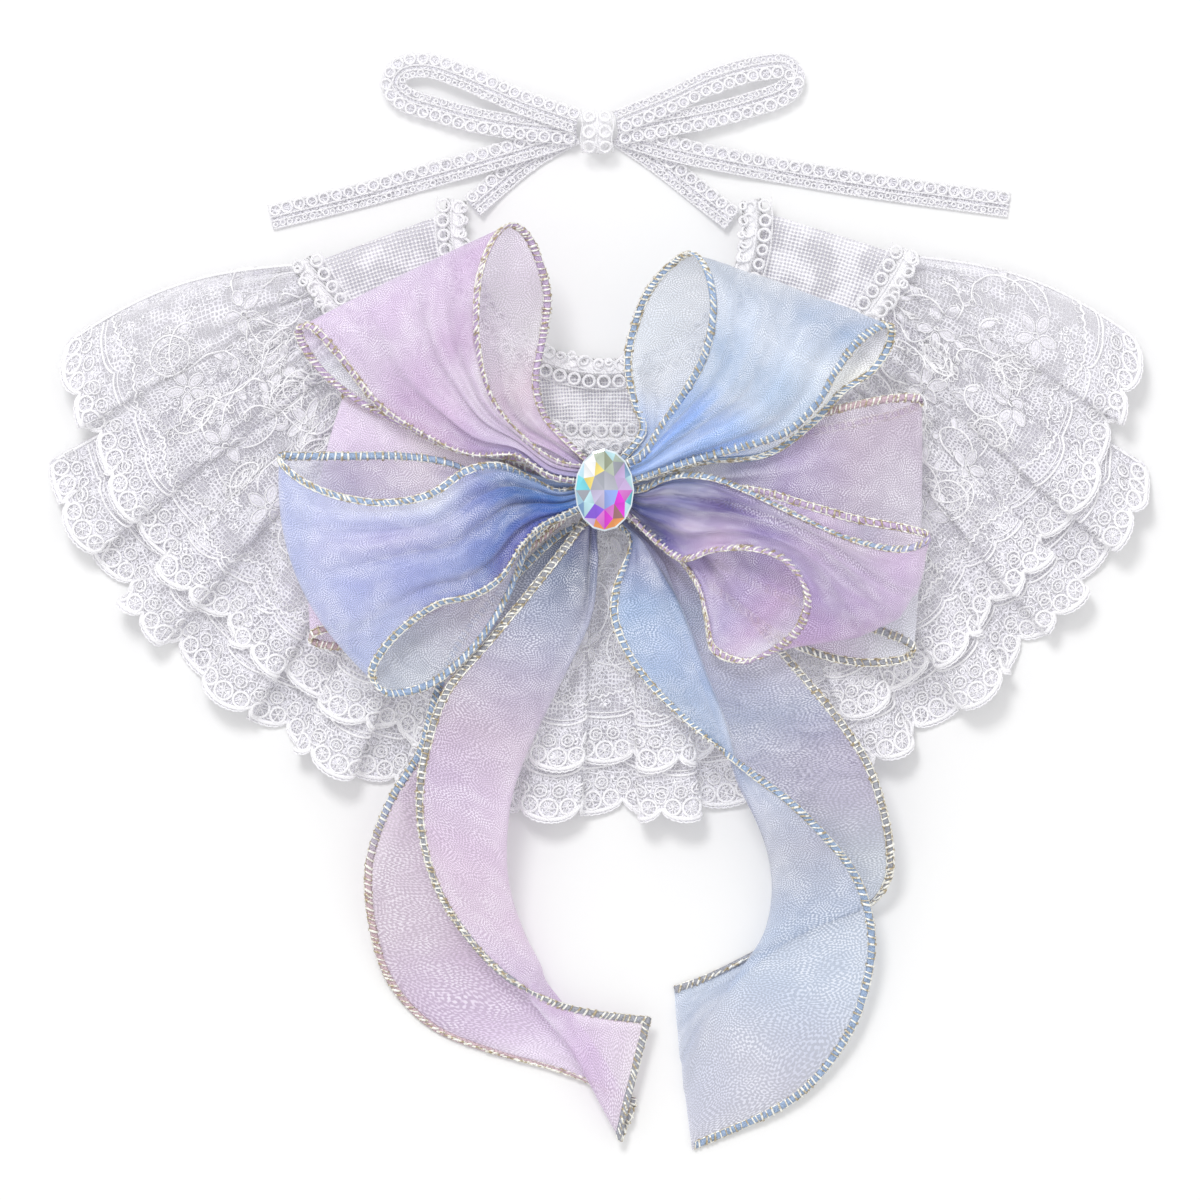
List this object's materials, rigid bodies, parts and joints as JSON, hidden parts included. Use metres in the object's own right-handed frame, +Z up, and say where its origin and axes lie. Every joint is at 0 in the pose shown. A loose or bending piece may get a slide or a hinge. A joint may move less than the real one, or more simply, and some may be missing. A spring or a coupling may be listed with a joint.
{
  "type": "bow collar",
  "caption": "Small round lace bib collar with two ruffled tiers, a braided neckline with a tie bow, and a wired ribbon bow held by an oval cut crystal.",
  "frame": {"origin": "on the surface that the collar lies on, under the middle of its outline", "axes": "+X to the right and +Y towards the neck ties as seen from above, +Z up out of the face of the collar"},
  "size_m": [0.2448, 0.2414, 0.0321],
  "materials": {
    "lace": "white embroidered net lace",
    "weave": "white open plain weave",
    "braid": "white ring braid of corded thread",
    "ribbon_purple": "sheer crinkled organza with gold-stitched wired edges",
    "ribbon_blue": "sheer crinkled organza with gold-stitched wired edges",
    "ribbon_periwinkle": "sheer crinkled organza with gold-stitched wired edges",
    "ribbon_violet": "sheer crinkled organza with gold-stitched wired edges",
    "ribbon_lilac": "sheer crinkled organza with gold-stitched wired edges",
    "crystal": "faceted glass with an iridescent foil back"
  },
  "bodies": {
    "root": {"yoke": "weave", "neck_trim": "braid", "seam_braid": "braid", "lower_ruffle": "lace", "upper_ruffle": "lace", "tie_strap_left": "braid", "tie_strap_right": "braid", "tie_tail_left": "braid", "tie_tail_right": "braid", "tie_loop_left": "braid", "tie_loop_right": "braid", "tie_knot": "braid", "bow_loop_upper_left": "ribbon_purple", "bow_loop_upper_right": "ribbon_blue", "bow_loop_lower_left": "ribbon_periwinkle", "bow_loop_lower_right": "ribbon_violet", "bow_loop_back_left": "ribbon_lilac", "bow_loop_back_right": "ribbon_lilac", "bow_tail_left": "ribbon_lilac", "bow_tail_right": "ribbon_blue", "bow_knot": "ribbon_periwinkle", "gem_stone": "crystal"}
  },
  "joints": []
}
